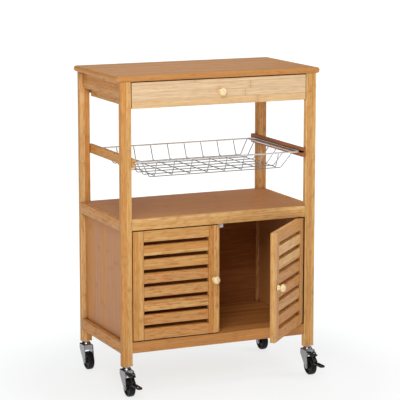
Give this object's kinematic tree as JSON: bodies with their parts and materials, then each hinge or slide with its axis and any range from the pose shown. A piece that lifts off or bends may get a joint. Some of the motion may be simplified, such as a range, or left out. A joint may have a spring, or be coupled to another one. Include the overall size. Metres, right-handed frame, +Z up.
{
  "type": "rolling kitchen cart",
  "caption": "Rolling bamboo kitchen cart with a worktop, a drawer, a sliding wire basket, an open shelf and a cabinet with slatted doors on braked swivel casters.",
  "frame": {"origin": "on the floor, below the middle of the bounding box of the cart with its right-hand door standing open", "axes": "+Z is up, +X runs from left to right and the front faces -Y"},
  "size_m": [0.588, 0.5039, 0.845],
  "materials": {
    "bamboo": "clear satin lacquer over caramel bamboo",
    "pale_bamboo": "clear satin lacquer over pale bamboo",
    "panel_bamboo": "clear satin lacquer over darker bamboo",
    "drawer_ply": "unfinished thin plywood",
    "beech": "bare fluted beech",
    "knob_wood": "turned pale wood, clear lacquer",
    "basket_chrome": "bright chrome plated wire",
    "fork_chrome": "bright nickel plated pressed steel",
    "zinc_steel": "zinc plated steel",
    "wheel_plastic": "black moulded nylon",
    "black_plastic": "black moulded nylon",
    "white_plastic": "white moulded plastic"
  },
  "bodies": {
    "cart": {"worktop": "bamboo", "leg_front_left": "bamboo", "leg_front_right": "bamboo", "leg_back_left": "bamboo", "leg_back_right": "bamboo", "apron_left": "bamboo", "apron_right": "bamboo", "apron_back": "bamboo", "drawer_runner_left": "bamboo", "drawer_runner_right": "bamboo", "basket_rail_left": "bamboo", "basket_rail_right": "bamboo", "shelf_panel": "panel_bamboo", "shelf_rail_front": "bamboo", "shelf_rail_back": "bamboo", "shelf_rail_left": "bamboo", "shelf_rail_right": "bamboo", "cabinet_floor": "panel_bamboo", "base_rail_front": "bamboo", "base_rail_back": "bamboo", "base_rail_left": "bamboo", "base_rail_right": "bamboo", "side_panel_left": "panel_bamboo", "side_panel_right": "panel_bamboo", "back_panel": "panel_bamboo", "door_pins": "zinc_steel", "door_catch": "white_plastic", "caster_stems": "zinc_steel", "frame_bolts": "zinc_steel", "frame_dowels": "beech", "wood_screws": "zinc_steel"},
    "drawer": {"drawer_front": "pale_bamboo", "drawer_side_left": "bamboo", "drawer_side_right": "bamboo", "drawer_back": "bamboo", "drawer_bottom": "drawer_ply", "drawer_knob": "knob_wood"},
    "basket": {"basket_rim": "basket_chrome", "basket_cross_wires": "basket_chrome", "basket_long_wires": "basket_chrome"},
    "left_door": {"left_door_frame": "bamboo", "left_door_slats": "bamboo", "left_door_knob": "knob_wood"},
    "right_door": {"right_door_frame": "bamboo", "right_door_slats": "bamboo", "right_door_knob": "knob_wood"},
    "caster_front_left": {"caster_fork_front_left": "fork_chrome", "caster_axle_front_left": "zinc_steel"},
    "wheel_front_left": {"caster_wheel_front_left": "wheel_plastic"},
    "brake_left": {"brake_lever_left": "black_plastic"},
    "caster_front_right": {"caster_fork_front_right": "fork_chrome", "caster_axle_front_right": "zinc_steel"},
    "wheel_front_right": {"caster_wheel_front_right": "wheel_plastic"},
    "brake_right": {"brake_lever_right": "black_plastic"},
    "caster_back_left": {"caster_fork_back_left": "fork_chrome", "caster_axle_back_left": "zinc_steel"},
    "wheel_back_left": {"caster_wheel_back_left": "wheel_plastic"},
    "caster_back_right": {"caster_fork_back_right": "fork_chrome", "caster_axle_back_right": "zinc_steel"},
    "wheel_back_right": {"caster_wheel_back_right": "wheel_plastic"}
  },
  "joints": [
    {"name": "drawer_slide", "type": "slide", "parent": "cart", "child": "drawer", "axis": [0, -1, 0], "range_m": [0, 0.2]},
    {"name": "basket_slide", "type": "slide", "parent": "cart", "child": "basket", "axis": [0, -1, 0], "range_m": [0, 0.2]},
    {"name": "left_door_hinge", "type": "hinge", "parent": "cart", "child": "left_door", "pos_m": [-0.2435, -0.0659, 0.29], "axis": [0, 0, -1], "range_deg": [0, 100]},
    {"name": "right_door_hinge", "type": "hinge", "parent": "cart", "child": "right_door", "pos_m": [0.2435, -0.0659, 0.29], "axis": [0, 0, 1], "range_deg": [-45.5, 54.5]},
    {"name": "front_left_swivel", "type": "hinge", "parent": "cart", "child": "caster_front_left", "pos_m": [-0.268, -0.0659, 0.07], "axis": [0, 0, 1], "continuous": true},
    {"name": "front_left_wheel_spin", "type": "hinge", "parent": "caster_front_left", "child": "wheel_front_left", "pos_m": [-0.26741, -0.08289, 0.025], "axis": [0.9994, 0.0349, 0], "continuous": true},
    {"name": "left_brake", "type": "hinge", "parent": "caster_front_left", "child": "brake_left", "pos_m": [-0.26725, -0.08739, 0.058], "axis": [0.9994, 0.0349, 0], "range_deg": [0, 8]},
    {"name": "front_right_swivel", "type": "hinge", "parent": "cart", "child": "caster_front_right", "pos_m": [0.268, -0.0659, 0.07], "axis": [0, 0, 1], "continuous": true},
    {"name": "front_right_wheel_spin", "type": "hinge", "parent": "caster_front_right", "child": "wheel_front_right", "pos_m": [0.26859, -0.08289, 0.025], "axis": [0.9994, 0.0349, 0], "continuous": true},
    {"name": "right_brake", "type": "hinge", "parent": "caster_front_right", "child": "brake_right", "pos_m": [0.26875, -0.08739, 0.058], "axis": [0.9994, 0.0349, 0], "range_deg": [0, 8]},
    {"name": "back_left_swivel", "type": "hinge", "parent": "cart", "child": "caster_back_left", "pos_m": [-0.268, 0.2351, 0.07], "axis": [0, 0, 1], "continuous": true},
    {"name": "back_left_wheel_spin", "type": "hinge", "parent": "caster_back_left", "child": "wheel_back_left", "pos_m": [-0.26741, 0.21811, 0.025], "axis": [0.9994, 0.0349, 0], "continuous": true},
    {"name": "back_right_swivel", "type": "hinge", "parent": "cart", "child": "caster_back_right", "pos_m": [0.268, 0.2351, 0.07], "axis": [0, 0, 1], "continuous": true},
    {"name": "back_right_wheel_spin", "type": "hinge", "parent": "caster_back_right", "child": "wheel_back_right", "pos_m": [0.26859, 0.21811, 0.025], "axis": [0.9994, 0.0349, 0], "continuous": true}
  ]
}
